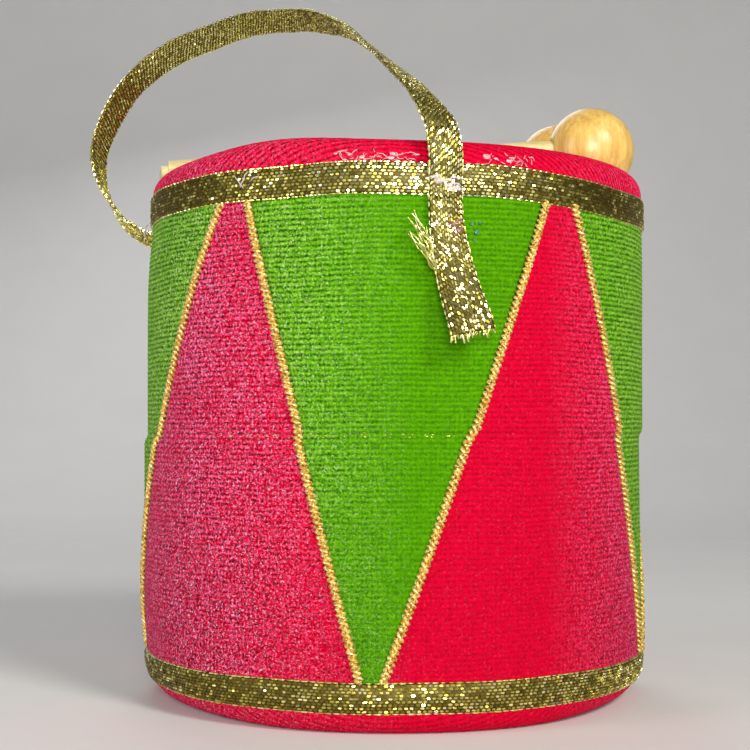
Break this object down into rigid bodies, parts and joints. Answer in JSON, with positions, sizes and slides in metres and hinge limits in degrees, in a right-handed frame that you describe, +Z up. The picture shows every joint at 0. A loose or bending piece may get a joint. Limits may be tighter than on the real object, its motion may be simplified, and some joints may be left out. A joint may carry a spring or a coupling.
{
  "type": "drum christmas ornament",
  "caption": "Small drum-shaped tree ornament in red and green ribbed velvet with gold cord zigzags, gold ribbon trims, a ribbon hanging loop and a pair of drumsticks glued on top.",
  "frame": {"origin": "centre of the base that the drum stands on", "axes": "+Z up the drum's axis; -Y towards the hanger's glued front end and its loose tail; +X towards the drumsticks' balls"},
  "size_m": [0.0732, 0.0646, 0.0865],
  "materials": {
    "foam_core": "white expanded foam, cut faces",
    "red_velvet": "ribbed pile velvet with a pink sheen",
    "green_velvet": "ribbed pile velvet with a pale sheen",
    "gold_cord": "twisted metallic cord",
    "gold_ribbon": "woven metallic ribbon",
    "pale_wood": "bare sanded dowel",
    "lacquered_wood": "honey lacquer over straight grain",
    "clear_glue": "dried craft glue"
  },
  "bodies": {
    "drum": {"upper_core": "foam_core", "lower_core": "foam_core", "top_cover": "red_velvet", "bottom_cover": "red_velvet", "red_panel_1": "red_velvet", "red_panel_2": "red_velvet", "red_panel_3": "red_velvet", "red_panel_4": "red_velvet", "green_panel_1": "green_velvet", "green_panel_2": "green_velvet", "green_panel_3": "green_velvet", "green_panel_4": "green_velvet", "gold_cord_1": "gold_cord", "gold_cord_2": "gold_cord", "gold_cord_3": "gold_cord", "gold_cord_4": "gold_cord", "gold_cord_5": "gold_cord", "gold_cord_6": "gold_cord", "gold_cord_7": "gold_cord", "gold_cord_8": "gold_cord", "top_trim": "gold_ribbon", "bottom_trim": "gold_ribbon", "hanger_front_pad": "gold_ribbon", "hanger_rear_pad": "gold_ribbon", "stick_shaft_1": "pale_wood", "stick_shaft_2": "pale_wood", "stick_ball_1": "lacquered_wood", "stick_ball_2": "lacquered_wood", "stick_glue": "clear_glue"},
    "hanger": {"hanger_loop": "gold_ribbon"},
    "tail": {"hanger_tail": "gold_ribbon", "frayed_threads": "gold_ribbon"}
  },
  "joints": [
    {"name": "hanger_swing", "type": "hinge", "parent": "drum", "child": "hanger", "pos_m": [0, 0, 0.0572], "axis": [-0.1719, 0.9851, 0], "range_deg": [-40, 60]},
    {"name": "tail_lift", "type": "hinge", "parent": "drum", "child": "tail", "pos_m": [0.00521, -0.02985, 0.05495], "axis": [-0.9851, -0.1719, 0], "range_deg": [-10, 75]}
  ]
}
